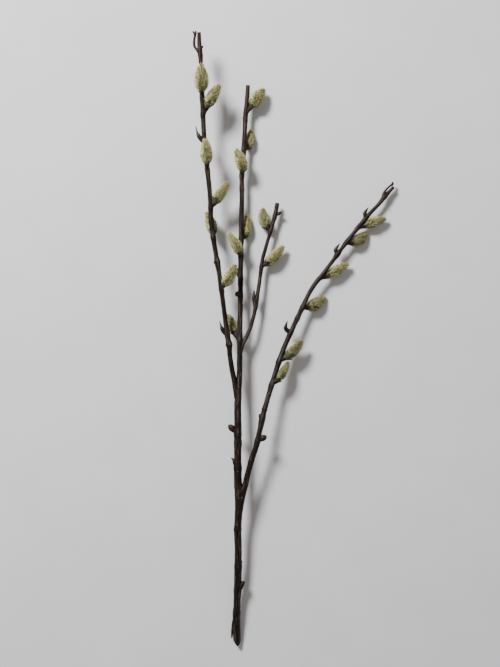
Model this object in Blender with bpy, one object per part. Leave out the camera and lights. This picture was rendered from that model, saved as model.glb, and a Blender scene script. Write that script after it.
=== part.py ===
"""
A cut willow branch in catkin, lying down: one forked piece of wood and the twenty catkins it bears.

Every length below is in millimetres; the scene is in metres. The thick broken end points along -Y
and the young tips along +Y. Z = 0 is the surface that the branch lies on, and the origin is on that
surface under the middle of the branch.
"""

import math

import bmesh
import bpy
from mathutils import Vector

MM = 0.001
UP = Vector((0, 0, 1))

# A shoot is drawn as one tube through its middle line's (x, y, z, thickness), root first.
SHOOT_SIDES = 8
RING_EVERY = 10  # length of bark between two rings of the tube
UNEVEN = 0.035  # how much the thickness wavers from ring to ring
SCAR_SWELL = 1.1  # extra thickness at the ring scar where a year's growth began
SCAR_REACH = 2

# How far the wood splinters past its broken end, round the stem from +X over the top.
TORN = (1.0, 4.4, 6.0, 3.2, 0.0, 2.4, 5.2, 4.0)

STEM = (
    (-56.2, -293.5, 3.9, 6.6),
    (-56.8, -284.0, 6.0, 7.2),
    (-56.9, -272.0, 8.2, 7.1),
    (-56.5, -263.5, 9.5, 6.9),
    (-55.5, -233.5, 14.0, 6.9),
    (-55.0, -203.0, 18.0, 7.0),
    (-55.5, -182.5, 20.0, 7.1),
    (-54.5, -163.5, 22.0, 7.2),
    (-54.5, -149.0, 23.2, 7.7),
    (-55.4, -129.0, 24.0, 7.3),
    (-55.4, -105.0, 24.0, 7.1),
    (-55.4, -80.5, 23.0, 6.9),
    (-55.2, -56.5, 21.5, 6.5),
    (-54.0, -37.0, 20.0, 5.3),
    (-53.5, -2.5, 17.5, 5.1),
    (-53.0, 41.5, 14.5, 4.7),
    (-52.5, 90.5, 12.5, 4.6),
    (-51.5, 139.5, 12.0, 4.5),
    (-51.5, 164.0, 12.0, 4.4),
    (-50.0, 184.0, 12.6, 4.4),
    (-48.0, 218.5, 12.4, 4.2),
    (-46.5, 238.0, 11.0, 4.1),
    (-45.5, 252.5, 11.0, 3.8),
)
LEFT = (
    (-56.5, -54.5, 21.5, 4.8),
    (-59.0, -37.0, 21.5, 4.8),
    (-62.5, -17.5, 22.5, 4.7),
    (-64.0, -2.5, 23.0, 4.7),
    (-67.0, 17.0, 24.0, 4.4),
    (-72.5, 60.5, 25.5, 4.4),
    (-75.5, 79.0, 26.0, 4.5),
    (-81.0, 114.0, 27.0, 4.4),
    (-82.0, 138.0, 28.0, 4.4),
    (-85.0, 169.0, 29.0, 4.4),
    (-88.0, 201.0, 30.0, 4.4),
    (-90.0, 240.5, 31.5, 4.2),
    (-91.0, 269.0, 33.0, 3.9),
    (-92.5, 287.0, 34.0, 3.3),
    (-92.5, 299.0, 35.0, 2.4),
)
SIDE = (
    (-53.0, -12.0, 17.8, 3.4),
    (-51.0, -2.5, 17.0, 3.5),
    (-47.5, 4.0, 16.0, 3.5),
    (-42.0, 17.5, 14.0, 3.4),
    (-37.5, 37.0, 12.5, 3.3),
    (-33.0, 68.5, 10.5, 3.3),
    (-30.0, 86.0, 10.0, 3.2),
    (-22.5, 111.5, 9.5, 3.1),
    (-18.5, 126.0, 9.0, 3.1),
    (-16.5, 136.5, 9.0, 2.6),
)
RIGHT = (
    (-54.0, -161.5, 22.5, 4.9),
    (-51.8, -149.5, 23.5, 5.5),
    (-48.1, -139.0, 24.5, 5.4),
    (-45.6, -128.0, 25.3, 5.2),
    (-42.0, -114.5, 26.0, 5.2),
    (-37.2, -100.0, 26.5, 5.0),
    (-34.0, -85.5, 26.0, 5.1),
    (-29.4, -66.0, 24.5, 4.9),
    (-21.0, -37.0, 20.5, 4.8),
    (-11.0, -7.5, 17.0, 4.7),
    (2.0, 21.5, 15.0, 4.5),
    (16.0, 50.5, 13.2, 4.0),
    (27.3, 66.0, 13.0, 3.8),
    (36.6, 78.3, 12.4, 3.7),
    (53.0, 100.5, 11.5, 3.5),
    (72.3, 123.8, 10.0, 3.1),
    (83.4, 134.8, 8.8, 3.0),
    (89.8, 143.8, 7.8, 3.0),
    (98.2, 153.3, 6.8, 2.3),
)
SHOOTS = {"stem": STEM, "left": LEFT, "side": SIDE, "right": RIGHT}
SCARS = {"stem": (-182.5, 57.0), "left": (-2.5, 79.0), "side": (68.5,), "right": (-65.0, 23.5, 144.0)}

# Each catkin sits in a cup on a short spur: its shoot, where along Y the spur leaves the shoot,
# the middle of the catkin's foot, its tip, and its thickness.
CATKINS = {
    "catkin_left_1": ("left", 237.0, (-90.0, 240.5, 36.0), (-90.5, 268.0, 43.0), 14.1),
    "catkin_left_2": ("left", 220.0, (-85.1, 227.7, 32.0), (-72.6, 249.6, 34.0), 11.6),
    "catkin_left_3": ("left", 167.0, (-85.0, 171.5, 33.5), (-86.5, 196.5, 39.0), 12.4),
    "catkin_left_4": ("left", 130.0, (-77.9, 135.1, 29.6), (-64.8, 155.2, 31.0), 10.7),
    "catkin_left_5": ("left", 102.0, (-79.5, 106.5, 22.0), (-86.5, 128.5, 17.0), 11.6),
    "catkin_left_6": ("left", 51.5, (-68.3, 55.6, 28.0), (-57.3, 76.2, 32.0), 11.6),
    "catkin_middle_1": ("stem", 224.0, (-42.0, 232.0, 11.5), (-29.5, 250.0, 9.0), 13.1),
    "catkin_middle_2": ("stem", 189.0, (-46.5, 193.2, 8.4), (-43.0, 211.0, 4.2), 10.4),
    "catkin_middle_3": ("stem", 164.0, (-51.0, 168.0, 16.4), (-57.8, 189.5, 21.0), 11.8),
    "catkin_middle_4": ("stem", 100.0, (-49.5, 104.0, 8.6), (-46.5, 126.5, 5.0), 10.7),
    "catkin_middle_5": ("stem", 84.0, (-53.6, 87.5, 16.0), (-65.2, 107.6, 20.0), 10.7),
    "catkin_middle_6": ("stem", 0.5, (-57.0, 8.5, 9.6), (-64.5, 26.5, 1.8), 9.0),
    "catkin_side_1": ("side", 109.0, (-26.0, 112.5, 9.0), (-31.0, 133.0, 8.0), 11.2),
    "catkin_side_2": ("side", 74.0, (-28.0, 77.0, 10.0), (-10.0, 95.5, 9.0), 10.7),
    "catkin_right_1": ("right", 112.0, (69.0, 114.5, 9.0), (91.4, 122.2, 7.6), 10.2),
    "catkin_right_2": ("right", 97.5, (59.0, 99.5, 8.4), (72.5, 109.0, 2.2), 11.6),
    "catkin_right_3": ("right", 62.0, (31.0, 64.8, 10.2), (54.0, 78.2, 9.2), 10.7),
    "catkin_right_4": ("right", 33.0, (14.5, 35.0, 10.2), (31.5, 45.0, 2.0), 12.4),
    "catkin_right_5": ("right", -19.0, (-9.2, -15.2, 17.0), (8.0, 2.5, 17.0), 10.7),
    "catkin_right_6": ("right", -42.0, (-16.4, -36.5, 19.8), (-5.4, -18.2, 13.8), 8.7),
}
CATKIN_ROWS = 17
CATKIN_SEGMENTS = 12
CATKIN_CORE = 0.78  # the core's share of the thickness; the tufts stand out of it to the rest
CATKIN_FULLEST = 0.34  # share of the length from the foot to where it is thickest
CATKIN_FOOT = 0.42
CATKIN_TIP = 0.2
CATKIN_BOW = 0.4  # share of the length over which it still heads the way its spur does
TUFT_LEAN = 0.9  # how far a tuft's point leans towards the tip, in rows

SEAT_GAP = 0.3
SPUR_SIDES = 7
# (share of the way from the shoot's middle line to the cup's rim, thickness)
SPUR_OUTLINE = ((0.0, 3.4), (0.45, 3.2), (0.72, 4.2), (1.0, 4.7))

# A bud is an egg with a pointed end: its shoot, where along Y it sits, its point, its thickness.
BUD_SIDES = 6
BUD_OUTLINE = ((0.0, 0.5), (0.3, 0.8), (0.55, 1.0), (0.82, 0.72), (1.0, 0.24))
BUDS = (
    ("stem", -240.0, (-49.8, -235.5, 13.8), 2.8),
    ("stem", -219.0, (-51.0, -215.0, 16.2), 2.2),
    ("stem", -116.5, (-61.5, -112.6, 25.0), 2.2),
    ("stem", -98.5, (-51.2, -95.5, 24.0), 1.8),
    ("stem", -89.5, (-64.3, -80.6, 24.5), 6.1),
    ("stem", 41.0, (-56.9, 50.8, 16.4), 4.8),
    ("stem", 66.0, (-57.0, 74.6, 13.4), 2.6),
    ("stem", 218.5, (-50.9, 221.0, 12.3), 1.8),
    ("left", 52.0, (-68.2, 48.4, 25.6), 2.2),
    ("left", 77.0, (-72.7, 79.6, 26.2), 2.4),
    ("left", 75.5, (-78.8, 77.6, 26.0), 2.2),
    ("left", 282.0, (-88.6, 286.5, 34.2), 2.0),
    ("side", 123.5, (-12.9, 128.5, 9.6), 2.8),
    ("right", -96.4, (-27.8, -90.8, 28.0), 5.4),
    ("right", -76.0, (-34.6, -71.0, 25.6), 2.2),
)

# A stub is what is left of a dead side shoot: its shoot, where along Y it leaves it, and then
# the (x, y, z, thickness) that it runs through.
STUB_SIDES = 6
STUBS = (
    ("stem", -266.0, ((-59.4, -274.0, 8.6, 3.0), (-60.8, -284.0, 6.2, 2.6), (-61.6, -292.5, 3.2, 1.4))),
    ("left", 5.5, ((-68.4, 10.0, 24.0, 2.3), (-73.0, 19.5, 25.0, 0.9))),
    ("left", 197.5, ((-93.3, 200.8, 30.0, 2.5), (-95.0, 208.5, 30.5, 0.9))),
    ("left", 277.5, ((-94.6, 283.0, 34.0, 1.9), (-97.5, 288.5, 34.0, 2.2), (-96.7, 296.0, 34.5, 1.7),
                     (-95.5, 300.5, 35.0, 1.1))),
    ("side", 35.0, ((-39.4, 44.0, 12.8, 3.2), (-39.5, 45.4, 12.9, 1.3), (-39.3, 50.4, 13.0, 0.8))),
    ("right", 8.5, ((-9.1, 13.3, 16.2, 2.4), (-7.3, 20.2, 16.7, 0.9))),
    ("right", 86.5, ((40.8, 90.0, 12.4, 2.6), (44.5, 96.5, 13.0, 0.9))),
    ("right", 121.5, ((70.2, 127.0, 10.5, 2.0), (72.5, 131.5, 11.0, 0.9))),
    ("right", 141.5, ((88.9, 146.6, 8.0, 1.6), (92.0, 151.0, 8.0, 1.4), (96.5, 154.4, 7.6, 1.3),
                      (97.7, 157.6, 7.4, 0.8))),
)
FORK_TWIG = ((-97.3, 290.0, 34.1, 1.6), (-97.2, 295.0, 34.5, 1.5), (-98.8, 300.0, 35.0, 1.0))


def smooth(points, step=1.0):
    """Points of one smooth curve through these (x, y, z, thickness), about one step apart."""
    points = [Vector(point) for point in points]
    before = 2 * points[0] - points[1]
    after = 2 * points[-1] - points[-2]
    padded = [before, *points, after]
    curve = []
    for a, b, c, d in zip(padded, padded[1:], padded[2:], padded[3:]):
        count = max(1, round((c - b).xyz.length / step))
        for i in range(count):
            t = i / count
            cubic = 3 * b - a - 3 * c + d
            curve.append(b + 0.5 * t * ((c - a) + t * (2 * a - 5 * b + 4 * c - d + t * cubic)))
    return [*curve, points[-1]]


def on_shoot(shoot, y):
    """The point of a shoot's middle line that is nearest to this y."""
    return min(smooth(SHOOTS[shoot]), key=lambda point: abs(point.y - y)).xyz


def ring(centre, direction, reaches):
    """Points round a middle line, one for each reach, counted from the side that is level."""
    across = direction.cross(UP).normalized()
    over = across.cross(direction).normalized()
    turn = math.tau / len(reaches)
    return [
        centre + reach * (math.cos(i * turn) * across + math.sin(i * turn) * over)
        for i, reach in enumerate(reaches)
    ]


def loft(name, rings):
    """A closed object: a face on the first ring is extruded from each ring to the next."""
    shape = bmesh.new()
    face = shape.faces.new([shape.verts.new(point * MM) for point in rings[0]])
    for i, points in enumerate(rings[1:]):
        made = bmesh.ops.extrude_face_region(shape, geom=[face])["geom"]
        if i > 0:
            bmesh.ops.delete(shape, geom=[face], context="FACES_ONLY")
        face = next(part for part in made if isinstance(part, bmesh.types.BMFace))
        for vert, point in zip(face.verts, points):
            vert.co = point * MM
    bmesh.ops.triangulate(shape, faces=shape.faces, quad_method="SHORT_EDGE", ngon_method="BEAUTY")
    bmesh.ops.recalc_face_normals(shape, faces=shape.faces)
    mesh = bpy.data.meshes.new(name)
    shape.to_mesh(mesh)
    shape.free()
    made = bpy.data.objects.new(name, mesh)
    bpy.context.scene.collection.objects.link(made)
    return made


def tube(name, stations, sides, torn=()):
    """A round tube through (x, y, z, thickness) stations; torn lengthens its first end unevenly."""
    rings = []
    for i, station in enumerate(stations):
        direction = (stations[min(i + 1, len(stations) - 1)] - stations[max(i - 1, 0)]).xyz.normalized()
        reach = station.w / 2 * (1 + UNEVEN * math.sin(2.1 * i))
        rings.append(ring(station.xyz, direction, [reach] * sides))
    back = (stations[0] - stations[1]).xyz.normalized()
    for point, length in zip(rings[0], torn):
        point += back * length
    return loft(name, rings)


def shoot_tube(shoot):
    """One shoot with the ring scars of its years, closed at both ends."""
    curve = smooth(SHOOTS[shoot])
    kept = set(range(0, len(curve), RING_EVERY)) | {len(curve) - 1}
    for scar in SCARS[shoot]:
        middle = min(range(len(curve)), key=lambda i: abs(curve[i].y - scar))
        kept |= {middle - SCAR_REACH, middle, middle + SCAR_REACH}
        curve[middle].w += SCAR_SWELL
    return tube(shoot, [curve[i] for i in sorted(kept)], SHOOT_SIDES, TORN if shoot == "stem" else ())


def outlined(name, root, end, outline, thickness, sides):
    """A turned solid from root to end, with an outline of (share of the way, thickness)."""
    stations = [Vector((*root.lerp(end, share), wide * thickness)) for share, wide in outline]
    return tube(name, stations, sides)


def spur(name, root, foot):
    """The short spur and the cup of bud scales that hold a catkin's foot."""
    rim = foot - (foot - root).normalized() * SEAT_GAP
    return outlined(name, root, rim, SPUR_OUTLINE, 1.0, SPUR_SIDES)


def stub(name, root, points):
    stations = [Vector((*root, points[0][3])), *(Vector(point) for point in points)]
    return tube(name, stations, STUB_SIDES)


def joined(main, pieces, name):
    """The pieces fused to the main one as one closed body."""
    group = bpy.data.collections.new(name + "_pieces")
    for piece in pieces:
        group.objects.link(piece)
    fuse = main.modifiers.new("Fuse", "BOOLEAN")
    fuse.operation = "UNION"
    fuse.operand_type = "COLLECTION"
    fuse.collection = group
    fused = bpy.data.meshes.new_from_object(main.evaluated_get(bpy.context.evaluated_depsgraph_get()))
    main.modifiers.clear()
    main.data = fused
    main.name = name
    for piece in pieces:
        bpy.data.objects.remove(piece)
    bpy.data.collections.remove(group)
    return main


def rest_on_surface(made):
    """What would reach below the surface is pressed flat on it."""
    for vert in made.data.vertices:
        vert.co.z = max(vert.co.z, 0.0)


def wood():
    """The stem with its shoots, spurs, buds and stubs, which grew as one piece."""
    pieces = [shoot_tube(shoot) for shoot in SHOOTS if shoot != "stem"]
    for name, (shoot, y, foot, _, _) in CATKINS.items():
        pieces.append(spur("spur_" + name, on_shoot(shoot, y), Vector(foot)))
    for i, (shoot, y, point, thickness) in enumerate(BUDS):
        root = on_shoot(shoot, y)
        pieces.append(outlined(f"bud_{i}", root, Vector(point), BUD_OUTLINE, thickness, BUD_SIDES))
    for i, (shoot, y, points) in enumerate(STUBS):
        pieces.append(stub(f"stub_{i}", on_shoot(shoot, y), points))
    pieces.append(tube("fork_twig", [Vector(point) for point in FORK_TWIG], STUB_SIDES))
    made = joined(shoot_tube("stem"), pieces, "wood")
    rest_on_surface(made)
    made.data.shade_smooth()
    made.data.set_sharp_from_angle(angle=math.radians(50))
    return made


def catkin_reach(share):
    """How far a catkin reaches from its middle line, as a share of its most, from foot to tip."""
    if share < CATKIN_FULLEST:
        return CATKIN_FOOT + (1 - CATKIN_FOOT) * math.sin(math.pi / 2 * (share / CATKIN_FULLEST) ** 0.8)
    past = (share - CATKIN_FULLEST) / (1 - CATKIN_FULLEST)
    return CATKIN_TIP + (1 - CATKIN_TIP) * math.cos(math.pi / 2 * past**1.2)


def catkin(name, root, foot, tip, thickness):
    """One catkin: a full, tapering core with rows of silky tufts that stand out of it."""
    length = (tip - foot).length
    bend = foot + (foot - root).normalized() * length * CATKIN_BOW
    rings = []
    for row in range(CATKIN_ROWS + 1):
        t = row / CATKIN_ROWS
        centre = (1 - t) ** 2 * foot + 2 * t * (1 - t) * bend + t**2 * tip
        direction = ((1 - t) * (bend - foot) + t * (tip - bend)).normalized()
        reach = thickness / 2 * catkin_reach(t)
        tufted = [0 < row < CATKIN_ROWS and (row + i) % 2 == 0 for i in range(CATKIN_SEGMENTS)]
        points = ring(centre, direction, [reach * (1 if tuft else CATKIN_CORE) for tuft in tufted])
        lean = direction * TUFT_LEAN * length / CATKIN_ROWS
        rings.append([point + lean if tuft else point for point, tuft in zip(points, tufted)])
    made = loft(name, rings)
    rest_on_surface(made)
    return made


def material(name, colour, roughness):
    made = bpy.data.materials.new(name)
    made.use_nodes = True
    shader = made.node_tree.nodes["Principled BSDF"]
    shader.inputs["Base Color"].default_value = (*colour, 1)
    shader.inputs["Roughness"].default_value = roughness
    shader.inputs["Metallic"].default_value = 0
    return made


for old in list(bpy.data.objects):
    bpy.data.objects.remove(old)

bark = material("dark_bark", (0.035, 0.022, 0.016), 0.5)
wood().data.materials.append(bark)
for name, (shoot, y, foot, tip, thickness) in CATKINS.items():
    silk = material(name + "_silk", (0.5, 0.5, 0.25), 0.9)
    made = catkin(name, on_shoot(shoot, y), Vector(foot), Vector(tip), thickness)
    made.data.materials.append(silk)
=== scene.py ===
"""
A cut willow branch in catkin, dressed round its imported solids. It lies on a pale surface and is
seen from above. Lengths are in millimetres until a shape is placed, and the scene is in metres.
"""

import math
import random

import bmesh
import bpy
from mathutils import Matrix, Vector, kdtree, noise


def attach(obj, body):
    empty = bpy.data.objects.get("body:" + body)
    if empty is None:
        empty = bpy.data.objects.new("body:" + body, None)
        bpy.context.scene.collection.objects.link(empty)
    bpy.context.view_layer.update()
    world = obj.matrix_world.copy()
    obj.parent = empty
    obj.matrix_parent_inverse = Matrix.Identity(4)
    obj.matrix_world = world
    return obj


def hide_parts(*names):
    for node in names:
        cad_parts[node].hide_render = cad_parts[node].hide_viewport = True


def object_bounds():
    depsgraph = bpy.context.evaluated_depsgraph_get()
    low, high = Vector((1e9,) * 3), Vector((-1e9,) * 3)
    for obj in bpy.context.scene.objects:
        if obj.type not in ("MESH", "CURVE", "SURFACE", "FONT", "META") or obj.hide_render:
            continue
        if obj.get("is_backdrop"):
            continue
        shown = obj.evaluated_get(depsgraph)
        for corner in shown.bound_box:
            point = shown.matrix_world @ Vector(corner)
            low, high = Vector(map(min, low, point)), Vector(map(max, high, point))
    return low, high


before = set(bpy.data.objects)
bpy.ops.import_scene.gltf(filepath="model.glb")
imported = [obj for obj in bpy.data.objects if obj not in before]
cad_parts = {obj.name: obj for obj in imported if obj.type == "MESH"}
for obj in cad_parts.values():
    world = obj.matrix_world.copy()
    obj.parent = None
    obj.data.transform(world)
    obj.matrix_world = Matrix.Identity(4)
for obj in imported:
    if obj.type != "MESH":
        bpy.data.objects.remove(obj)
cad_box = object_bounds()

# Stem and shoots. The branch is one piece of wood, torn off at its thick end and forked into three
# shoots and a thin side twig. Smooth dark bark covers it, with a ring of scars where each year's
# growth began, a swelling at each bud, and small pale pores.

MM = 0.001
UP = Vector((0, 0, 1))

# The middle line of each shoot as (x, y, z, thickness), root first.
STEM = (
    (-56.2, -293.5, 3.9, 6.6),
    (-56.8, -284.0, 6.0, 7.2),
    (-56.9, -272.0, 8.2, 7.1),
    (-56.5, -263.5, 9.5, 6.9),
    (-55.5, -233.5, 14.0, 6.9),
    (-55.0, -203.0, 18.0, 7.0),
    (-55.5, -182.5, 20.0, 7.1),
    (-54.5, -163.5, 22.0, 7.2),
    (-54.5, -149.0, 23.2, 7.7),
    (-55.4, -129.0, 24.0, 7.3),
    (-55.4, -105.0, 24.0, 7.1),
    (-55.4, -80.5, 23.0, 6.9),
    (-55.2, -56.5, 21.5, 6.5),
    (-54.0, -37.0, 20.0, 5.3),
    (-53.5, -2.5, 17.5, 5.1),
    (-53.0, 41.5, 14.5, 4.7),
    (-52.5, 90.5, 12.5, 4.6),
    (-51.5, 139.5, 12.0, 4.5),
    (-51.5, 164.0, 12.0, 4.4),
    (-50.0, 184.0, 12.6, 4.4),
    (-48.0, 218.5, 12.4, 4.2),
    (-46.5, 238.0, 11.0, 4.1),
    (-45.5, 252.5, 11.0, 3.8),
)
LEFT = (
    (-56.5, -54.5, 21.5, 4.8),
    (-59.0, -37.0, 21.5, 4.8),
    (-62.5, -17.5, 22.5, 4.7),
    (-64.0, -2.5, 23.0, 4.7),
    (-67.0, 17.0, 24.0, 4.4),
    (-72.5, 60.5, 25.5, 4.4),
    (-75.5, 79.0, 26.0, 4.5),
    (-81.0, 114.0, 27.0, 4.4),
    (-82.0, 138.0, 28.0, 4.4),
    (-85.0, 169.0, 29.0, 4.4),
    (-88.0, 201.0, 30.0, 4.4),
    (-90.0, 240.5, 31.5, 4.2),
    (-91.0, 269.0, 33.0, 4.1),
    (-92.3, 287.0, 34.0, 3.9),
    (-92.7, 299.0, 35.0, 3.4),
)
SIDE = (
    (-53.0, -12.0, 17.8, 3.5),
    (-51.0, -2.5, 17.0, 3.7),
    (-47.5, 4.0, 16.0, 3.7),
    (-42.0, 17.5, 14.0, 3.6),
    (-37.5, 37.0, 12.5, 3.5),
    (-33.0, 68.5, 10.5, 3.5),
    (-30.0, 86.0, 10.0, 3.4),
    (-22.5, 111.5, 9.5, 3.3),
    (-18.5, 126.0, 9.0, 3.8),
    (-17.1, 133.6, 9.0, 4.1),
    (-16.5, 137.0, 9.0, 3.2),
)
RIGHT = (
    (-54.6, -172.0, 21.4, 5.2),
    (-53.4, -161.5, 22.5, 6.4),
    (-51.4, -149.5, 23.5, 6.8),
    (-48.1, -139.0, 24.5, 6.0),
    (-45.6, -128.0, 25.3, 5.4),
    (-42.0, -114.5, 26.0, 5.2),
    (-37.2, -100.0, 26.5, 5.0),
    (-34.0, -85.5, 26.0, 5.1),
    (-29.4, -66.0, 24.5, 4.9),
    (-21.0, -37.0, 20.5, 4.8),
    (-11.0, -7.5, 17.0, 4.7),
    (2.0, 21.5, 15.0, 4.5),
    (16.0, 50.5, 13.2, 4.0),
    (27.3, 66.0, 13.0, 3.8),
    (36.6, 78.3, 12.4, 3.7),
    (53.0, 100.5, 11.5, 3.7),
    (71.8, 123.6, 10.0, 3.6),
    (82.8, 135.3, 8.8, 3.6),
    (89.6, 143.8, 7.8, 3.5),
    (98.0, 152.8, 6.8, 2.8),
)
SHOOTS = {"stem": STEM, "left": LEFT, "side": SIDE, "right": RIGHT}
SHOOT_SIDES = {"stem": 28, "left": 22, "side": 18, "right": 22}
# Where along Y each shoot has a ring of scars, how high it stands and how far it reaches.
SCARS = {
    "stem": ((-182.5, 0.5, 1.0), (-140.0, 0.3, 0.8), (57.0, 0.35, 0.9), (150.0, 0.3, 0.8)),
    "left": ((-2.2, 1.0, 1.7), (79.0, 0.6, 1.2), (187.0, 0.4, 0.9)),
    "side": ((68.5, 0.4, 0.9),),
    "right": (
        (-65.0, 0.5, 0.9), (-73.5, 0.5, 2.6), (23.5, 0.6, 1.0), (86.0, 0.4, 2.4), (144.0, 0.4, 1.6),
    ),
}
# A ring scar's lips: how far each lies from its middle, and its share of the height and the reach.
SCAR_LIPS = ((0.0, 1.0, 1.0), (2.4, 0.4, 0.6), (-1.9, 0.35, 0.6))
NODE_SWELL = 0.42  # how much thicker a shoot is, all round, where a bud or spur sits
NODE_REACH = 3.2
KNOBBLY = 0.14  # how far a shoot swells and shrinks by chance
KNOB_LENGTH = 9.0
WANDER = 0.2  # how far its middle line strays by chance
BARK = 0.35  # what the bark adds to a shoot's thickness
# How far the wood splinters past its broken end, round the stem from +X over the top.
TORN = (1.0, 4.4, 6.0, 3.2, 0.0, 2.4, 5.2, 4.0)

noise.seed_set(3)  # else the noise would differ from run to run


def smooth(points, step=1.0):
    """Points of one smooth curve through these (x, y, z, thickness), about one step apart."""
    points = [Vector(point) for point in points]
    before = 2 * points[0] - points[1]
    after = 2 * points[-1] - points[-2]
    padded = [before, *points, after]
    curve = []
    for a, b, c, d in zip(padded, padded[1:], padded[2:], padded[3:]):
        count = max(1, round((c - b).xyz.length / step))
        for i in range(count):
            t = i / count
            cubic = 3 * b - a - 3 * c + d
            curve.append(b + 0.5 * t * ((c - a) + t * (2 * a - 5 * b + 4 * c - d + t * cubic)))
    return [*curve, points[-1]]


def heading(curve, i):
    """The direction of a curve at one of its points."""
    return (curve[min(i + 1, len(curve) - 1)] - curve[max(i - 1, 0)]).xyz.normalized()


def on_shoot(shoot, y):
    """The point of a shoot's middle line that is nearest to this y."""
    return min(shoot_lines[shoot], key=lambda point: abs(point.y - y)).xyz


def crosswise(direction):
    """Two directions square to this one: level, and as near to upwards as it lets."""
    across = direction.cross(UP).normalized()
    return across, across.cross(direction).normalized()


def ring(centre, direction, reaches):
    """Points round a middle line, one for each reach, counted from the side that is level."""
    across, over = crosswise(direction)
    turn = math.tau / len(reaches)
    return [
        centre + reach * (math.cos(i * turn) * across + math.sin(i * turn) * over)
        for i, reach in enumerate(reaches)
    ]


def loft(shape, rings, slot=0):
    """A closed skin over these rings: a face on the first is extruded from ring to ring."""
    start = bmesh.ops.create_circle(shape, cap_ends=True, segments=len(rings[0]), radius=1)["verts"]
    face = start[0].link_faces[0]
    faces = [face]
    for vert, point in zip(face.verts, rings[0]):
        vert.co = point * MM
    for i, points in enumerate(rings[1:]):
        made = bmesh.ops.extrude_face_region(shape, geom=[face])["geom"]
        if i > 0:
            faces.remove(face)
            bmesh.ops.delete(shape, geom=[face], context="FACES_ONLY")
        face = next(part for part in made if isinstance(part, bmesh.types.BMFace))
        for vert, point in zip(face.verts, points):
            vert.co = point * MM
        faces.append(face)
        faces += [side for edge in face.edges for side in edge.link_faces if side != face]
    bmesh.ops.recalc_face_normals(shape, faces=faces)
    for made in faces:
        made.material_index = slot
        made.smooth = True
    return faces


def settle(shape):
    """Puts a shape's parts in the order of their places, which is the same in every run."""
    for rank, vert in enumerate(sorted(shape.verts, key=lambda vert: vert.co[:])):
        vert.index = rank
    shape.verts.sort()
    for parts in (shape.edges, shape.faces):
        ranked = sorted(parts, key=lambda part: sorted(vert.index for vert in part.verts))
        for rank, part in enumerate(ranked):
            part.index = rank
        parts.sort()


def finished(shape, name):
    """The shape as an object of its own."""
    settle(shape)
    mesh = bpy.data.meshes.new(name)
    shape.to_mesh(mesh)
    shape.free()
    made = bpy.data.objects.new(name, mesh)
    bpy.context.scene.collection.objects.link(made)
    return made


def tube(name, curve, sides, slot=0, torn=()):
    """A tube along (x, y, z, thickness) points; torn lengthens its first end unevenly."""
    rings = [
        ring(point.xyz, heading(curve, i), [point.w / 2] * sides) for i, point in enumerate(curve)
    ]
    if torn:
        back = -heading(curve, 0)
        for i, point in enumerate(rings[0]):
            place = i / sides * len(torn)
            low, share = int(place), place % 1
            length = torn[low] * (1 - share) + torn[(low + 1) % len(torn)] * share
            point += back * length
    shape = bmesh.new()
    loft(shape, rings, slot)
    return finished(shape, name)


shoot_lines = {name: smooth(points) for name, points in SHOOTS.items()}

# Catkins, first as places: the spurs that carry them swell the shoot where they leave it. For each:
# its shoot, where along Y its spur leaves it, the middle of its foot, its tip and its thickness.
CATKINS = {
    "catkin_left_1": ("left", 237.0, (-90.0, 242.4, 36.4), (-90.5, 268.0, 43.0), 14.1),
    "catkin_left_2": ("left", 220.0, (-85.1, 227.7, 32.0), (-72.6, 249.6, 34.0), 11.6),
    "catkin_left_3": ("left", 167.0, (-85.1, 173.0, 34.0), (-86.5, 196.5, 39.0), 12.4),
    "catkin_left_4": ("left", 130.0, (-77.9, 135.1, 29.6), (-64.8, 155.2, 31.0), 10.7),
    "catkin_left_5": ("left", 102.0, (-79.5, 106.5, 22.0), (-86.5, 128.5, 17.0), 11.6),
    "catkin_left_6": ("left", 51.5, (-68.3, 55.6, 28.0), (-57.3, 76.2, 32.0), 11.6),
    "catkin_middle_1": ("stem", 224.0, (-42.0, 232.0, 11.5), (-29.5, 250.0, 9.0), 13.1),
    "catkin_middle_2": ("stem", 189.0, (-47.0, 191.8, 8.8), (-43.0, 211.0, 4.2), 10.4),
    "catkin_middle_3": ("stem", 164.0, (-51.0, 168.0, 16.4), (-57.8, 189.5, 21.0), 11.8),
    "catkin_middle_4": ("stem", 100.0, (-49.5, 104.0, 8.6), (-46.5, 126.5, 5.0), 10.7),
    "catkin_middle_5": ("stem", 84.0, (-53.6, 87.5, 16.0), (-65.2, 107.6, 20.0), 10.7),
    "catkin_middle_6": ("stem", 0.5, (-57.6, 8.0, 13.4), (-65.2, 27.8, 2.4), 10.0),
    "catkin_side_1": ("side", 109.0, (-26.0, 112.5, 9.0), (-31.0, 133.0, 8.0), 11.2),
    "catkin_side_2": ("side", 74.0, (-28.0, 77.0, 10.0), (-10.0, 95.5, 9.0), 10.7),
    "catkin_right_1": ("right", 112.0, (69.0, 114.5, 9.0), (91.4, 122.2, 7.6), 10.2),
    "catkin_right_2": ("right", 97.5, (55.8, 97.8, 9.5), (72.5, 109.0, 2.2), 11.6),
    "catkin_right_3": ("right", 62.0, (31.0, 64.8, 10.2), (54.0, 78.2, 9.2), 10.7),
    "catkin_right_4": ("right", 33.0, (12.9, 34.2, 11.0), (31.5, 45.0, 2.0), 12.4),
    "catkin_right_5": ("right", -19.0, (-9.2, -15.2, 17.0), (8.0, 2.5, 17.0), 10.7),
    "catkin_right_6": ("right", -42.0, (-17.8, -37.6, 20.3), (-5.4, -18.2, 13.8), 8.7),
}

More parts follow.
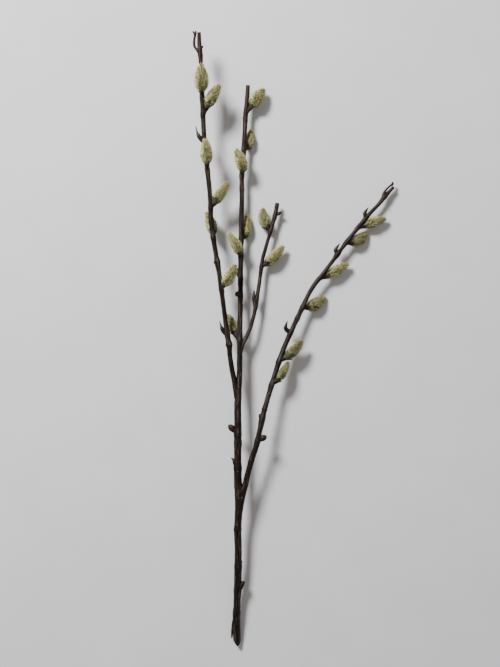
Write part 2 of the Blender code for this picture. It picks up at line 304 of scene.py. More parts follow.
# Buds. Each is one closed scale over a flower or leaf to come, smooth and reddish brown, pressed
# against its shoot. For each: its shoot, where along Y it sits, its point, and its thickness.
BUDS = (
    ("stem", -219.5, (-51.3, -214.0, 16.2), 3.4),
    ("stem", -98.5, (-51.2, -95.5, 24.0), 2.2),
    ("stem", -89.5, (-64.4, -80.4, 24.5), 6.3),
    ("stem", 45.0, (-57.2, 48.4, 18.8), 5.8),
    ("stem", 218.5, (-50.9, 221.0, 12.3), 1.8),
    ("left", 52.0, (-68.2, 48.4, 25.6), 2.2),
    ("left", 77.0, (-72.7, 79.6, 26.2), 2.4),
    ("left", 75.5, (-78.8, 77.6, 26.0), 2.2),
    ("left", 282.0, (-88.6, 286.5, 34.2), 2.0),
    ("side", 123.5, (-12.7, 128.3, 9.6), 3.2),
    ("right", -96.4, (-27.4, -90.9, 28.0), 6.0),
    ("right", -78.0, (-34.4, -69.5, 25.6), 3.2),
)
# Stubs. A side shoot that died back leaves a short dry stub. For each: its shoot, where along Y it
# leaves it, and the (x, y, z, thickness) that it runs through.
STUBS = (
    ("stem", -266.0, ((-59.4, -274.0, 8.6, 3.0), (-60.8, -284.0, 6.2, 2.6),
                      (-61.6, -292.5, 3.2, 1.4))),
    ("stem", -244.0, ((-52.6, -239.5, 13.6, 5.2), (-50.9, -236.8, 13.8, 4.2),
                      (-49.5, -234.6, 13.9, 2.6))),
    ("stem", -122.0, ((-58.0, -116.8, 24.6, 5.0), (-59.8, -114.0, 25.0, 2.6),
                      (-62.0, -112.6, 25.2, 0.7))),
    ("stem", 62.0, ((-55.6, 68.0, 14.0, 3.6), (-56.5, 71.4, 14.2, 2.4), (-56.9, 75.6, 14.2, 1.0))),
    ("left", 7.0, ((-69.2, 10.8, 24.0, 4.6), (-70.9, 13.6, 24.2, 3.6), (-71.9, 16.6, 24.5, 1.7),
                  (-73.2, 20.6, 25.0, 0.9))),
    ("left", 193.5, ((-91.8, 198.0, 29.8, 4.6), (-93.8, 201.2, 30.0, 3.6), (-94.9, 204.2, 30.3, 1.6),
                    (-96.1, 209.4, 30.6, 0.9))),
    ("left", 277.5, ((-94.4, 281.6, 34.0, 2.6), (-97.2, 286.2, 34.0, 2.6), (-97.3, 292.0, 34.5, 2.4),
                     (-96.1, 297.6, 35.0, 2.3), (-95.8, 300.4, 35.0, 1.5))),
    ("side", 35.0, ((-39.3, 43.2, 12.8, 4.2), (-39.7, 46.2, 12.9, 2.5), (-39.5, 50.8, 13.0, 1.0))),
    ("right", 8.5, ((-8.4, 13.2, 16.2, 4.4), (-8.2, 16.6, 16.5, 2.7), (-7.0, 20.6, 16.7, 1.0))),
    ("right", 86.5, ((40.7, 90.4, 12.4, 4.2), (42.4, 93.6, 12.7, 2.8), (44.6, 97.0, 13.0, 1.0))),
    ("right", 121.5, ((69.6, 126.6, 10.5, 4.0), (70.8, 129.4, 10.8, 2.6), (72.8, 132.3, 11.0, 1.0))),
    ("right", 141.5, ((88.2, 146.2, 8.0, 2.9), (91.0, 150.6, 8.0, 2.2), (94.6, 154.0, 7.8, 2.0),
                      (96.8, 155.6, 7.5, 2.8), (97.4, 158.2, 7.4, 1.2))),
)
FORK_TWIG = ((-96.7, 295.0, 34.6, 1.9), (-97.4, 298.2, 34.8, 1.7), (-98.9, 300.1, 35.0, 1.1))

swellings = [(shoot, y) for shoot, y, *_ in (*CATKINS.values(), *BUDS, *STUBS)]
shoot_tubes = {}
for shoot, line in shoot_lines.items():
    curve = [point.copy() for point in line]
    for i, (point, plain) in enumerate(zip(curve, line)):
        spot = Vector((i / KNOB_LENGTH, len(line), 0))
        point.w += BARK + 2 * KNOBBLY * noise.noise(spot) + KNOBBLY * noise.noise(3 * spot)
        stray = noise.noise_vector(spot + Vector((0, 7, 0)))
        point.x += WANDER * stray.x
        point.z += WANDER * stray.z
        for scar, height, reach in SCARS[shoot]:
            for offset, share, wide in SCAR_LIPS:
                past = (plain.y - scar - offset) / (reach * wide)
                point.w += 2 * height * share * math.exp(-(past**2))
        near = [y for other, y in swellings if other == shoot]
        point.w += 2 * NODE_SWELL * max(
            (math.exp(-(((plain.y - y) / NODE_REACH) ** 2)) for y in near), default=0
        )
    torn = TORN if shoot == "stem" else ()
    shoot_tubes[shoot] = tube(shoot, curve, SHOOT_SIDES[shoot], 0, torn)

# Spurs and cups. A catkin stands on a short spur whose bark widens into a cup, and a few scales of
# the bud that it broke out of still clasp its foot.
SPUR_SIDES = 16
SEAT_GAP = 0.3
# (share of the way from the shoot's middle line to the cup's rim, thickness)
SPUR_OUTLINE = ((0.0, 4.8), (0.3, 4.2), (0.5, 4.0), (0.72, 4.7), (0.9, 5.3), (1.0, 5.0))
# (share of the way from the shoot's middle line to the bud's point, share of its thickness)
BUD_OUTLINE = (
    (0.0, 0.5), (0.15, 0.6), (0.32, 0.76), (0.55, 1.0), (0.75, 0.96), (0.9, 0.66), (1.0, 0.22),
)
BUD_SIDES = 14
STUB_SIDES = 10
STUB_FLARE = 1.1  # how much thicker a stub is at its root


def outlined(name, root, end, outline, thickness, sides, slot=0):
    """A turned solid from root to end, through an outline of (share of the way, thickness)."""
    points = [(*root.lerp(end, share), wide * thickness) for share, wide in outline]
    return tube(name, smooth(points, 0.7), sides, slot)


pieces = [made for shoot, made in shoot_tubes.items() if shoot != "stem"]
for name, (shoot, y, foot, _, _) in CATKINS.items():
    root, foot = on_shoot(shoot, y), Vector(foot)
    rim = foot - (foot - root).normalized() * SEAT_GAP
    pieces.append(outlined("spur_" + name, root, rim, SPUR_OUTLINE, 1.0, SPUR_SIDES))
for i, (shoot, y, point, thickness) in enumerate(BUDS):
    root = on_shoot(shoot, y)
    pieces.append(outlined(f"bud_{i}", root, Vector(point), BUD_OUTLINE, thickness, BUD_SIDES, 1))
for i, (shoot, y, points) in enumerate(STUBS):
    root = on_shoot(shoot, y)
    line = smooth([(*root, points[0][3] * STUB_FLARE), *points], 0.6)
    pieces.append(tube(f"stub_{i}", line, STUB_SIDES))
pieces.append(tube("fork_twig", smooth(FORK_TWIG), STUB_SIDES))

wood = shoot_tubes["stem"]
group = bpy.data.collections.new("wood_pieces")
for piece in pieces:
    group.objects.link(piece)
fuse = wood.modifiers.new("Fuse", "BOOLEAN")
fuse.operation = "UNION"
fuse.operand_type = "COLLECTION"
fuse.collection = group
fused = bpy.data.meshes.new_from_object(wood.evaluated_get(bpy.context.evaluated_depsgraph_get()))
for piece in (wood, *pieces):
    bpy.data.objects.remove(piece)
bpy.data.collections.remove(group)
shape = bmesh.new()
shape.from_mesh(fused)
settle(shape)

# The clasping scales: three dark ones round each catkin's foot and two small green bracts over
# them, thin and hollow, open towards the tip.
SCALE_THICK = 0.3
SCALE_GRID = 5
CLASPS = (
    # turn round the foot, start past the rim, length, width, slot
    (0.6, -1.4, 4.9, 5.2, 1),
    (2.7, -1.6, 4.3, 5.2, 1),
    (4.8, -1.2, 5.2, 5.0, 1),
    (1.6, -0.6, 4.2, 2.8, 2),
    (3.9, -0.6, 4.6, 2.8, 2),
)
LEAFY = ("left_2", "left_4", "middle_1", "middle_3", "middle_5", "right_5")
LEAFY_CLASPS = ((0.0, -0.4, 7.6, 4.2, 2), (1.1, -0.6, 6.4, 3.8, 2), (-1.2, -0.6, 6.0, 3.6, 2))
CLASP_RADIUS = 2.5
CLASP_FLARE = 0.56  # how far a scale bends outwards in each mm
LEAFY_FLARE = 0.66
CLASP_BASE = 0.2  # where on its oval outline a scale begins
CLASP_POINT = 0.04  # how blunt its point is
CLASP_TURN = 0.3  # how far, in radians, chance turns it round the foot
LEAFY_TURN = 0.2


def clasp(shape, foot, axis, flare, turn, start, length, width, slot):
    """A thin ovate scale that clasps the stalk and bends outwards by this flare in each mm."""
    made = bmesh.ops.create_grid(
        shape, x_segments=SCALE_GRID, y_segments=SCALE_GRID + 1, size=1,
    )["verts"]
    across, over = crosswise(axis)
    for vert in made:
        share = (vert.co.y + 1) / 2
        oval = math.sin(math.pi * (CLASP_BASE + (1 - CLASP_BASE) * share))
        half = width / 2 * max(oval, CLASP_POINT) ** 0.7
        out = CLASP_RADIUS + flare * max(start + share * length, 0) ** 0.9
        angle = turn + vert.co.x * half / out
        side = math.cos(angle) * across + math.sin(angle) * over
        vert.co = (foot + (start + share * length) * axis + out * side) * MM
    faces = list(dict.fromkeys(face for vert in made for face in vert.link_faces))
    bmesh.ops.recalc_face_normals(shape, faces=faces)
    shell = bmesh.ops.solidify(shape, geom=faces, thickness=SCALE_THICK * MM)["geom"]
    shell = [*faces, *(part for part in shell if isinstance(part, bmesh.types.BMFace))]
    bmesh.ops.recalc_face_normals(shape, faces=shell)
    for face in shell:
        face.material_index = slot
        face.smooth = True


draw = random.Random(5)
for name, (shoot, y, foot, _, _) in CATKINS.items():
    root, foot = on_shoot(shoot, y), Vector(foot)
    axis = (foot - root).normalized()
    spun = draw.uniform(0, math.tau)
    for turn, *sizes in CLASPS:
        turn += spun + draw.uniform(-CLASP_TURN, CLASP_TURN)
        clasp(shape, foot, axis, CLASP_FLARE, turn, *sizes)
    if name.removeprefix("catkin_") in LEAFY:
        for turn, *sizes in LEAFY_CLASPS:
            turn += math.pi / 2 + draw.uniform(-LEAFY_TURN, LEAFY_TURN)
            clasp(shape, foot, axis, LEAFY_FLARE, turn, *sizes)

# The torn end. The stem was snapped off, not cut: pale fibres splinter out of the dark bark, and a
# strip of bark peeled back along one side.
SPLINTERS = 30
SPLINTER_ROOT = 2.0  # how deep in the wood a splinter starts
SPLINTER_THICK = (0.7, 1.2)
SPLINTER_SPREAD = (-1.6, 0.7)  # how far its length strays from the torn end's
WOOD_SHARE = 0.86  # the stem's thickness inside its bark
# The peeled strip of bark, as two long splinters of (foot, tip, thickness).
PEELED = (
    ((-60.1, -282.0, 6.6), (-60.1, -293.6, 4.2), 2.2),
    ((-59.8, -284.0, 6.0), (-59.7, -292.4, 4.4), 2.0),
)
END = Vector(STEM[0][:3])
END_BACK = -heading(shoot_lines["stem"], 0)


def splinter(shape, foot, tip, thick):
    """A four-sided spike of wood fibre."""
    length = (tip - foot).length
    turned = (tip - foot).to_track_quat("Z", "Y").to_matrix().to_4x4()
    place = Matrix.Translation((foot + tip) / 2 * MM) @ turned
    made = bmesh.ops.create_cone(
        shape, cap_ends=True, segments=4, radius1=thick / 2 * MM, radius2=thick / 9 * MM,
        depth=length * MM, matrix=place,
    )["verts"]
    for face in {face for vert in made for face in vert.link_faces}:
        face.material_index = 3


across, over = crosswise(END_BACK)
for _ in range(SPLINTERS):
    angle = draw.uniform(0, math.tau)
    out = WOOD_SHARE * STEM[0][3] / 2 * math.sqrt(draw.random())
    foot = END + out * (math.cos(angle) * across + math.sin(angle) * over)
    reach = TORN[int(angle / math.tau * len(TORN))] + draw.uniform(*SPLINTER_SPREAD)
    if reach > 0:
        root, tip = foot - SPLINTER_ROOT * END_BACK, foot + reach * END_BACK
        splinter(shape, root, tip, draw.uniform(*SPLINTER_THICK))
for foot, tip, thick in PEELED:
    splinter(shape, Vector(foot), Vector(tip), thick)

# The bark's relief: low ridges along each shoot and raised pores, and what its colour follows. The
# grain is where a point lies round and along its shoot, and young wood is that near a shoot's tip.
RIDGES = ((2.0, 0.04, 0.3), (5.0, 0.12, 0.13))  # ridges round, waves along each mm, height
FULL_RIDGES = 3.0  # the radius from which a shoot has its ridges in full
YOUNG_REACH = 70.0
PORES = 420
PORE_HEIGHT = 0.14
PORE_SIZE = (0.5, 1.0)
SHARP = 55  # degrees between faces from which an edge stays sharp

wood = finished(shape, "branch_wood")
wood_mesh = wood.data

stations = []
for shoot, line in shoot_lines.items():
    for i, point in enumerate(line):
        stations.append((point.xyz, heading(line, i), point.w / 2, float(i), float(len(line) - i)))
nearest = kdtree.KDTree(len(stations))
for i, (centre, *_) in enumerate(stations):
    nearest.insert(centre, i)
nearest.balance()
bark_points = {i for face in wood_mesh.polygons if face.material_index == 0 for i in face.vertices}
grain, young, moved = [], [], []
for vert in wood_mesh.vertices:
    point = vert.co / MM
    centre, direction, radius, along, left = stations[nearest.find(point)[1]]
    across, over = crosswise(direction)
    out = point - centre
    level, high = out.dot(across), out.dot(over)
    reach = max(math.hypot(level, high), 0.01)
    spot = Vector((level / reach, high / reach, along + out.dot(direction)))
    grain += (spot.x * radius, spot.y * radius, spot.z)
    young.append(math.exp(-left / YOUNG_REACH))
    if vert.index in bark_points:
        lift = sum(
            height * noise.noise(Vector((spot.x * round_, spot.y * round_, spot.z * wave)))
            for round_, wave, height in RIDGES
        )
        point += vert.normal * lift * min(radius / FULL_RIDGES, 1)
    moved.append(point)
on_bark = kdtree.KDTree(len(bark_points))
for i in sorted(bark_points):
    on_bark.insert(moved[i], i)
on_bark.balance()
pores = [0.0] * len(moved)
for _ in range(PORES):
    centre, direction, radius, *_ = draw.choice(stations)
    across, over = crosswise(direction)
    angle = draw.uniform(0, math.tau)
    spot = centre + radius * (math.cos(angle) * across + math.sin(angle) * over)
    i = on_bark.find(spot)[1]
    pores[i] = draw.uniform(*PORE_SIZE)
    moved[i] = moved[i] + wood_mesh.vertices[i].normal * PORE_HEIGHT * pores[i]
for vert, point in zip(wood_mesh.vertices, moved):
    vert.co = (point.x * MM, point.y * MM, max(point.z, 0) * MM)
wood_mesh.attributes.new("grain", "FLOAT_VECTOR", "POINT").data.foreach_set("vector", grain)
wood_mesh.attributes.new("young", "FLOAT", "POINT").data.foreach_set("value", young)
wood_mesh.attributes.new("pore", "FLOAT", "POINT").data.foreach_set("value", pores)
wood_mesh.set_sharp_from_angle(angle=math.radians(SHARP))


class Shade:
    """A socket of a material's tree, or the tree alone. Sums of sockets add their Math nodes."""

    def __init__(self, tree, socket=None):
        self.tree = tree
        self.socket = socket

    def node(self, kind, settings=None, feeds=None, output=0):
        """Adds a node, sets it, feeds its sockets with values or links, and returns an output."""
        made = self.tree.nodes.new(kind)
        for name, value in (settings or {}).items():
            setattr(made, name, value)
        for name, value in (feeds or {}).items():
            if isinstance(value, Shade):
                self.tree.links.new(value.socket, made.inputs[name])
            else:
                made.inputs[name].default_value = value
        return Shade(self.tree, made.outputs[output])

    def math(self, operation, first, second):
        return self.node("ShaderNodeMath", {"operation": operation}, {0: first, 1: second})

    def __add__(self, other):
        return self.math("ADD", self, other)

    def __sub__(self, other):
        return self.math("SUBTRACT", self, other)

    def __rsub__(self, other):
        return self.math("SUBTRACT", other, self)

    def __mul__(self, other):
        return self.math("MULTIPLY", self, other)

    __radd__ = __add__
    __rmul__ = __mul__


def new_material(name, **values):
    """A material with these values on its shader's sockets, and its tree ready for nodes."""
    made = bpy.data.materials.new(name)
    made.use_nodes = True
    shader = made.node_tree.nodes["Principled BSDF"]
    for key, value in values.items():
        shader.inputs[key.replace("_", " ")].default_value = value
    return made, shader, Shade(made.node_tree)


def plug(shade, shader, name):
    shade.tree.links.new(shade.socket, shader.inputs[name])


def colour(red, green, blue):
    return (red, green, blue, 1.0)


def blend(tree, share, first, second):
    """One colour turned into another by a share from 0 to 1."""
    feeds = {0: share, 6: first, 7: second}
    return tree.node("ShaderNodeMix", {"data_type": "RGBA"}, feeds, 2)


def steps(tree, value, low, high):
    """The value stretched so that low becomes 0 and high becomes 1, and held to that."""
    feeds = {"Value": value, "From Min": low, "From Max": high}
    return tree.node("ShaderNodeMapRange", {"interpolation_type": "SMOOTHSTEP"}, feeds)


def cloud(tree, place, scale, detail=2.0):
    """Soft noise over a place, with its own scale in each direction."""
    stretched = tree.node("ShaderNodeVectorMath", {"operation": "MULTIPLY"}, {0: place, 1: scale})
    feeds = {"Vector": stretched, "Scale": 1.0, "Detail": detail}
    return tree.node("ShaderNodeTexNoise", None, feeds)


def bumped(tree, shader, height, strength, distance):
    feeds = {"Height": height, "Strength": strength, "Distance": distance}
    plug(tree.node("ShaderNodeBump", None, feeds), shader, "Normal")


bark, shader, tree = new_material("bark", Specular_IOR_Level=0.2)
place = tree.node("ShaderNodeAttribute", {"attribute_name": "grain"}, None, 1)
youth = tree.node("ShaderNodeAttribute", {"attribute_name": "young"}, None, 2)
pore = tree.node("ShaderNodeAttribute", {"attribute_name": "pore"}, None, 2)
streaks = cloud(tree, place, (1.5, 1.5, 0.1), 4.0)
# Pale waxy bloom, made paler and more plentiful than the real bloom so that it stands in for highlight
# streaks: partly real bloom, partly painted highlight.
bloom_and_highlight = steps(tree, cloud(tree, place, (0.85, 0.85, 0.07), 3.0), 0.555, 0.63)
grit = cloud(tree, place, (3.0, 3.0, 1.1), 3.0)
dark, light = colour(0.0014, 0.0007, 0.0003), colour(0.0125, 0.0054, 0.0023)
tone = blend(tree, steps(tree, streaks, 0.35, 0.65), dark, light)
bloom_and_highlight = bloom_and_highlight * steps(tree, grit, 0.3, 0.6) * (0.62 + 0.38 * youth)
tone = blend(tree, bloom_and_highlight * 0.85, tone, colour(0.128, 0.100, 0.066))
tone = blend(tree, youth * 0.5, tone, colour(0.030, 0.0105, 0.0055))
tone = blend(tree, steps(tree, pore, 0.3, 0.9) * 0.8, tone, colour(0.30, 0.24, 0.17))
plug(tone, shader, "Base Color")
plug(0.40 + 0.14 * bloom_and_highlight + 0.1 * grit, shader, "Roughness")
bumped(tree, shader, streaks + 0.5 * grit, 0.7, 0.0005)

bud_scale, shader, tree = new_material("bud_scale", Specular_IOR_Level=0.25)
place = tree.node("ShaderNodeTexCoord", None, None, 3)
mottle = cloud(tree, place, (700.0, 260.0, 700.0), 3.0)
dark, light = colour(0.004, 0.002, 0.001), colour(0.036, 0.0175, 0.0075)
tone = blend(tree, steps(tree, mottle, 0.35, 0.68), dark, light)
plug(tone, shader, "Base Color")
plug(0.42 + 0.2 * mottle, shader, "Roughness")
bumped(tree, shader, mottle, 0.35, 0.0003)

bract, shader, tree = new_material("green_bract", Roughness=0.55)
place = tree.node("ShaderNodeTexCoord", None, None, 3)
veins = cloud(tree, place, (900.0, 200.0, 900.0), 3.0)
dark, light = colour(0.012, 0.018, 0.005), colour(0.042, 0.056, 0.014)
tone = blend(tree, steps(tree, veins, 0.3, 0.7), dark, light)
plug(tone, shader, "Base Color")
bumped(tree, shader, veins, 0.4, 0.0003)

torn_wood, shader, tree = new_material("torn_wood", Roughness=0.8)
place = tree.node("ShaderNodeTexCoord", None, None, 3)
fibres = cloud(tree, place, (1500.0, 120.0, 1500.0), 4.0)
dark, light = colour(0.22, 0.15, 0.08), colour(0.58, 0.47, 0.30)
tone = blend(tree, steps(tree, fibres, 0.3, 0.7), dark, light)
plug(tone, shader, "Base Color")
bumped(tree, shader, fibres, 0.5, 0.0003)

for made in (bark, bud_scale, bract, torn_wood):
    wood_mesh.materials.append(made)
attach(wood, "root")
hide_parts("wood")

# Catkins. Each is a spike of close-set flowers on a green core. A flower is a small brown scale
# with a lock of long silky hairs and, where it has opened, two stamens with yellow heads.
CORE = 0.66  # the core's share of the catkin's reach; the locks fill the rest
FULLEST = 0.4  # share of the length at which it reaches furthest
FOOT = 0.4  # its reach at the foot and at the tip, as a share of the furthest
TIP = 0.34
BOW = 0.4  # how far along it keeps its spur's direction, before it bends to its tip
CORE_ROWS = 26
CORE_SIDES = 16
CORE_END = 0.95  # share of the length at which the core ends
CORE_ROUNDED = 0.12  # length, as a share, over which its tip is rounded off
CORE_BUMPS = 0.06
LOCK = 3.0  # length of a full lock of hair
LOCK_KINDS = 9
BARE_KIND = 7  # the kind whose dark scale shows through its hairs
TUFT = 10  # hairs that draw together into a lock's point
STRAYS = 3  # longer hairs that curl away from it and make the soft outline
HAIR_THICK = 0.28
HAIR_SIDES = 3
TUFT_RADIUS = 0.46
LONG_HAIRS = (0.78, 1.02)  # the spread of the hairs' length, as a share of a lock
LONG_STRAYS = (1.2, 1.65)
STAMENS = 2
STALK = 0.12
ANTHER = (0.3, 0.3, 0.5, 1.0)
SPACING = 1.32  # between flowers, in mm
FIRST, LAST = 0.04, CORE_END - 0.01  # shares of the length where the flowers begin and end
SUNK = 0.94  # a flower's foot, as a share of the core's reach
SMALLEST = 0.42  # the smallest size of a lock
GOLDEN = math.pi * (3 - math.sqrt(5))
# How far the locks stand off the axis, in degrees, from foot to tip, and how much that strays.
OPEN = ((0.0, 88), (0.1, 84), (0.4, 76), (0.75, 64), (0.9, 48), (1.0, 20))
OPEN_STRAY = 6
BAKE_MAP = "OFBake"
BAND = 0.26  # height on the map of each of its three bands, a catkin's foot to its tip
BANDS = (0.02, 0.36, 0.70)  # where the bands of scale, hair and stamen start
COLUMN = 0.31  # width on the map of a lock's height, of which there are three side by side
SLIVER = 0.003  # width that each face keeps on the map


def catkin_reach(share):
    """How far a catkin reaches from its middle line, as a share of its most, from foot to tip."""
    if share < FULLEST:
        return FOOT + (1 - FOOT) * math.sin(math.pi / 2 * (share / FULLEST) ** 0.8)
    past = (share - FULLEST) / (1 - FULLEST)
    return TIP + (1 - TIP) * math.cos(math.pi / 2 * past**1.2)


def core_reach(share):
    """How far the core reaches, as a share of the catkin's most; its tip is rounded off."""
    return CORE * catkin_reach(share) * min(math.sqrt(max(CORE_END - share, 0) / CORE_ROUNDED), 1)


def between(stops, share):
    """The value at this share along a row of (share, value) stops."""
    for (low, first), (high, second) in zip(stops, stops[1:]):
        if share <= high:
            return first + (second - first) * (share - low) / (high - low)
    return stops[-1][1]


def mapped(made, uv, band, shade):
    """Lays new vertices on the bake's map: height across, shade up within their band."""
    faces = {face for vert in made for face in vert.link_faces}
    turns = {vert: i % 3 / 2 for i, vert in enumerate(made)}
    for face in faces:
        face.material_index = band
        face.smooth = True
        for loop in face.loops:
            high = max(min(loop.vert.co.z / LOCK, 1), 0)
            loop[uv].uv = (0.01 + COLUMN * high, BANDS[band] + shade + SLIVER * turns[loop.vert])


def spike(shape, foot, tip, sides, wide, narrow=0.0):
    """A straight tapered stalk from foot to tip, and the matrix that stands it there."""
    turned = (tip - foot).to_track_quat("Z", "Y").to_matrix().to_4x4()
    place = Matrix.Translation((foot + tip) / 2) @ turned
    return bmesh.ops.create_cone(
        shape, cap_ends=False, segments=sides, radius1=wide / 2, radius2=narrow / 2,
        depth=(tip - foot).length, matrix=place,
    )["verts"]


def curled_hair(shape, foot, length, lean, curl):
    """A three-sided hair that bends away from its lock and ends in a point."""
    start = bmesh.ops.create_circle(
        shape, cap_ends=True, segments=HAIR_SIDES, radius=HAIR_THICK / 2.1,
    )["verts"]
    bmesh.ops.translate(shape, vec=foot, verts=start)
    face = start[0].link_faces[0]
    made = list(start)
    for share in (0.5, 1.0):
        pushed = bmesh.ops.extrude_face_region(shape, geom=[face])["geom"]
        bmesh.ops.delete(shape, geom=[face], context="FACES_ONLY")
        face = next(part for part in pushed if isinstance(part, bmesh.types.BMFace))
        centre = foot + length * share * (UP + lean * share + curl * share**2)
        for vert, base in zip(face.verts, start):
            vert.co = centre + (base.co - foot) * 0.75
        made += face.verts
    bmesh.ops.pointmerge(shape, verts=face.verts, merge_co=centre)
    made = [vert for vert in made if vert.is_valid]
    faces = list(dict.fromkeys(face for vert in made for face in vert.link_faces))
    bmesh.ops.recalc_face_normals(shape, faces=faces)
    return made


def flower(seed):
    """One flower that stands along +Z on the origin, in millimetres, its scale on the -Y side."""
    draw = random.Random(seed)
    shape = bmesh.new()
    uv = shape.loops.layers.uv.new(BAKE_MAP)
    opened, bare = seed % 4 == 0, seed == BARE_KIND
    tall = 2.5 if seed % 2 else 1.5
    head = Vector((0, -0.45, 2.9 if bare else tall))
    mapped(spike(shape, Vector((0, -0.2, -0.3)), head, 5, 1.0, 1.0 if bare else 0.5), uv, 0, 0.01)
    hairs = TUFT - (4 if opened or bare else 0)
    for i in range(hairs):
        turn = i * GOLDEN
        out = TUFT_RADIUS * math.sqrt((i + 0.5) / hairs)
        side = Vector((math.cos(turn), math.sin(turn), 0)) * out
        stray = Vector((draw.uniform(-0.16, 0.16), draw.uniform(-0.1, 0.24), 0))
        tip = side * draw.uniform(0.2, 0.8) + stray + UP * LOCK * draw.uniform(*LONG_HAIRS)
        hair = spike(shape, side - UP * 0.2, tip, HAIR_SIDES, HAIR_THICK)
        mapped(hair, uv, 1, 0.02 * draw.random())
    for i in range(STRAYS):
        turn = (i + draw.random()) * math.tau / STRAYS
        side = Vector((math.cos(turn), math.sin(turn), 0))
        lean = side * draw.uniform(0.04, 0.2)
        curl = Vector((draw.uniform(-0.14, 0.14), draw.uniform(0, 0.2), 0))
        made = curled_hair(shape, side * 0.3, LOCK * draw.uniform(*LONG_STRAYS), lean, curl)
        mapped(made, uv, 1, 0.02 * draw.random())
    for _ in range(STAMENS if opened else 0):
        level = Vector((draw.uniform(-0.5, 0.5), draw.uniform(-0.2, 0.5), 0))
        head = level + UP * LOCK * draw.uniform(0.85, 1.02)
        mapped(spike(shape, Vector((0, 0, -0.1)), head, 3, STALK, 0.1), uv, 2, 0.005)
        place = Matrix.Translation(head) @ Matrix.Diagonal(ANTHER)
        mapped(bmesh.ops.create_cube(shape, size=1, matrix=place)["verts"], uv, 2, 0.015)
    settle(shape)
    mesh = bpy.data.meshes.new(f"flower_{seed}")
    shape.to_mesh(mesh)
    shape.free()
    return mesh


flowers = [flower(seed) for seed in range(LOCK_KINDS)]
flower_maps = []
for mesh in flowers:
    spots = [0.0] * (2 * len(mesh.loops))
    mesh.uv_layers[BAKE_MAP].uv.foreach_get("vector", spots)
    flower_maps.append(spots)


def catkin(name, root, foot, tip, thickness, draw):
    """One catkin: its core, and its flowers set on it in a spiral."""
    length = (tip - foot).length
    bend = foot + (foot - root).normalized() * length * BOW

    def middle(t):
        return (1 - t) ** 2 * foot + 2 * t * (1 - t) * bend + t**2 * tip

    def ahead(t):
        return ((1 - t) * (bend - foot) + t * (tip - bend)).normalized()

    shape = bmesh.new()
    uv = shape.loops.layers.uv.new(BAKE_MAP)
    rings = []
    for row in range(CORE_ROWS + 1):
        t = row / CORE_ROWS * (CORE_END - 0.002)
        reach = thickness / 2 * core_reach(t)
        reaches = [reach * (1 + CORE_BUMPS * ((row + i) % 2)) for i in range(CORE_SIDES)]
        rings.append(ring(middle(t), ahead(t), reaches))
    for face in loft(shape, rings):
        for i, loop in enumerate(face.loops):
            share = (loop.vert.co / MM - foot).length / length
            loop[uv].uv = (0.02 + 0.03 * (i % 2), BANDS[0] + BAND * min(share, 0.96))
    t, i = FIRST, 0
    while t < LAST:
        across, over = crosswise(ahead(t))
        angle = i * GOLDEN + draw.uniform(-0.12, 0.12)
        side = math.cos(angle) * across + math.sin(angle) * over
        opening = math.radians(between(OPEN, t) + draw.uniform(-OPEN_STRAY, OPEN_STRAY))
        up = side * math.sin(opening) + ahead(t) * math.cos(opening)
        rise = max(math.sin(opening), 0.35)
        inner = thickness / 2 * core_reach(t)
        hair = (thickness / 2 * catkin_reach(t) - inner) / rise
        for _ in range(3):
            past = max(min(t + hair * math.cos(opening) / length, 1), 0)
            hair = (thickness / 2 * catkin_reach(past) - inner) / rise
        longest = (1 - t) * length / max(math.cos(opening), 0.2) / LOCK
        size = max(min(hair / LOCK * draw.uniform(0.9, 1.12) + 0.06, longest), SMALLEST)
        near = (ahead(t) - up * ahead(t).dot(up)).normalized()
        turned = Matrix((near.cross(up), near, up)).transposed().to_4x4()
        place = Matrix.Translation((middle(t) + SUNK * inner * side) * MM) @ turned
        kind = draw.randrange(LOCK_KINDS)
        lifted = flowers[kind].copy()
        spots = list(flower_maps[kind])
        spots[1::2] = [spot + (BAND - 0.03) * t for spot in spots[1::2]]
        column = draw.choice((0, 1, 1, 2, 2)) / 3
        spots[0::2] = [spot + column for spot in spots[0::2]]
        lifted.uv_layers[BAKE_MAP].uv.foreach_set("vector", spots)
        lifted.transform(place @ Matrix.Diagonal((MM, MM, MM * size, 1.0)))
        shape.from_mesh(lifted)
        bpy.data.meshes.remove(lifted)
        round_ = math.tau * max(thickness / 2 * catkin_reach(t) * 0.8, 0.8)
        t += SPACING**2 / (round_ * length)
        i += 1
    for vert in shape.verts:
        vert.co.z = max(vert.co.z, 0.0)
    return finished(shape, name)


def bake_place(tree):
    """What a point's place on the bake's map says: its height on its lock, how pale its lock is
    (0, 0.5 or 1), and its share along the catkin."""
    spot = tree.node("ShaderNodeUVMap", {"uv_map": BAKE_MAP})
    columns = tree.node("ShaderNodeSeparateXYZ", None, {0: spot}) * 3
    kind = tree.math("FLOOR", columns, 0)
    along = (tree.node("ShaderNodeSeparateXYZ", None, {0: spot}, 1) - BANDS[1]) * (1 / BAND)
    return columns - kind, kind * 0.5, along


core_green, shader, tree = new_material("flower_scale", Roughness=0.75)
high, _, _ = bake_place(tree)
light, dark = colour(0.075, 0.072, 0.022), colour(0.024, 0.019, 0.007)
tone = blend(tree, steps(tree, high, 0.02, 0.5), light, dark)
plug(tone, shader, "Base Color")
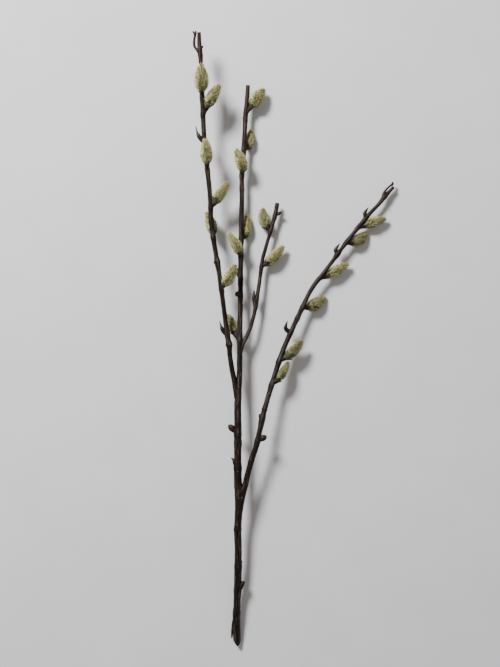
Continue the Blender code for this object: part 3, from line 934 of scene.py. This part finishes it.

# Hair is olive at its root and pale at its tip, and warmer towards the catkin's own tip. The catkins that
# hang low or lie in shade get a darker, greener and duller copy of the silk, which is painted shade. For
# each: root, tip and warm tone of a dark lock and of a pale one, and the tone of the hairs' ends.
SILKS = {
    "silk": (
        (0.120, 0.116, 0.030), (0.52, 0.50, 0.15), (0.46, 0.44, 0.14), (0.94, 0.92, 0.47),
        (0.66, 0.44, 0.20), (0.97, 0.81, 0.46), (0.95, 0.90, 0.58),
    ),
    # The darker copy for catkins in shade: painted shade.
    "shaded_silk": (
        (0.045, 0.050, 0.014), (0.25, 0.26, 0.075), (0.19, 0.19, 0.055), (0.68, 0.66, 0.33),
        (0.30, 0.18, 0.070), (0.72, 0.56, 0.30), (0.84, 0.79, 0.55),
    ),
}
silks = {}
for name, tones in SILKS.items():
    silks[name], shader, tree = new_material(name, Roughness=0.6, Sheen_Weight=0.5)
    high, pale, along = bake_place(tree)
    tones = [colour(*tone) for tone in tones]
    dark_root, pale_root, dark_tip, pale_tip, dark_warm, pale_warm, ends = tones
    root_tone = blend(tree, pale, dark_root, pale_root)
    tip_tone = blend(tree, pale, dark_tip, pale_tip)
    tone = blend(tree, steps(tree, high, 0.05, 0.75), root_tone, tip_tone)
    warm = blend(tree, steps(tree, high, 0.1, 1.0) * pale, dark_warm, pale_warm)
    tone = blend(tree, steps(tree, along, 0.6, 0.95) * 0.75, tone, warm)
    tone = blend(tree, steps(tree, high, 0.8, 1.0) * 0.5, tone, ends)
    plug(tone, shader, "Base Color")

anther, shader, tree = new_material("stamen", Roughness=0.5)
spot = tree.node("ShaderNodeUVMap", {"uv_map": BAKE_MAP})
powder = cloud(tree, spot, (20.0, 300.0, 1.0), 2.0)
tone = blend(tree, powder, colour(0.42, 0.36, 0.08), colour(0.66, 0.56, 0.16))
plug(tone, shader, "Base Color")

# The catkins that lie in shade and take the darker silk, which paints their shade into their colour.
SHADED_CATKINS = ("middle_6", "side_1", "right_2", "right_4", "right_5", "right_6")
for number, (name, (shoot, y, foot, tip, thickness)) in enumerate(CATKINS.items()):
    root = on_shoot(shoot, y)
    made = catkin(name + "_fur", root, Vector(foot), Vector(tip), thickness, random.Random(number))
    silk = silks["shaded_silk" if name.removeprefix("catkin_") in SHADED_CATKINS else "silk"]
    for finish in (core_green, silk, anther):
        made.data.materials.append(finish)
    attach(made, "root")
    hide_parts(name)

# The surface that the branch lies on, the light and the camera. A plain pale floor, a broad soft
# light from the upper left, and the photograph's view from straight above.
shape = bmesh.new()
bmesh.ops.create_grid(shape, x_segments=1, y_segments=1, size=4)
bmesh.ops.translate(shape, vec=(0, 0, -0.0002), verts=shape.verts)
floor = finished(shape, "floor")
paint, shader, tree = new_material("pale_floor", Roughness=0.9)
place = tree.node("ShaderNodeTexCoord", None, None, 3)
dark, light = colour(0.66, 0.66, 0.68), colour(0.74, 0.74, 0.76)
tone = blend(tree, cloud(tree, place, (18.0, 18.0, 18.0), 5.0), dark, light)
plug(tone, shader, "Base Color")
floor.data.materials.append(paint)
floor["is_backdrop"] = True

lamp = bpy.data.objects.new("soft_lamp", bpy.data.lights.new("soft_lamp", "AREA"))
lamp.data.shape = "DISK"
lamp.data.size = 0.46
lamp.data.energy = 54
lamp.location = (-0.75, 1.0, 1.24)
lamp.rotation_euler = Vector((-0.57, 0.80, 1.0)).to_track_quat("Z", "Y").to_euler()
bpy.context.scene.collection.objects.link(lamp)
world = bpy.data.worlds.new("soft_room")
world.use_nodes = True
world.node_tree.nodes["Background"].inputs["Color"].default_value = (1.0, 0.95, 0.90, 1.0)
world.node_tree.nodes["Background"].inputs["Strength"].default_value = 0.34
bpy.context.scene.world = world

FRAME_HEIGHT = 0.66133  # height of the surface that the photograph shows
CAMERA_HEIGHT = 1.3
camera = bpy.data.objects.new("camera", bpy.data.cameras.new("camera"))
camera.data.sensor_width = 36
camera.data.lens = 36 * CAMERA_HEIGHT / FRAME_HEIGHT
camera.location = (-0.0435, 0.0085, CAMERA_HEIGHT)
bpy.context.scene.collection.objects.link(camera)
bpy.context.scene.camera = camera

sizes = {"cad": [list(corner) for corner in cad_box], "visual": [list(corner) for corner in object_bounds()]}
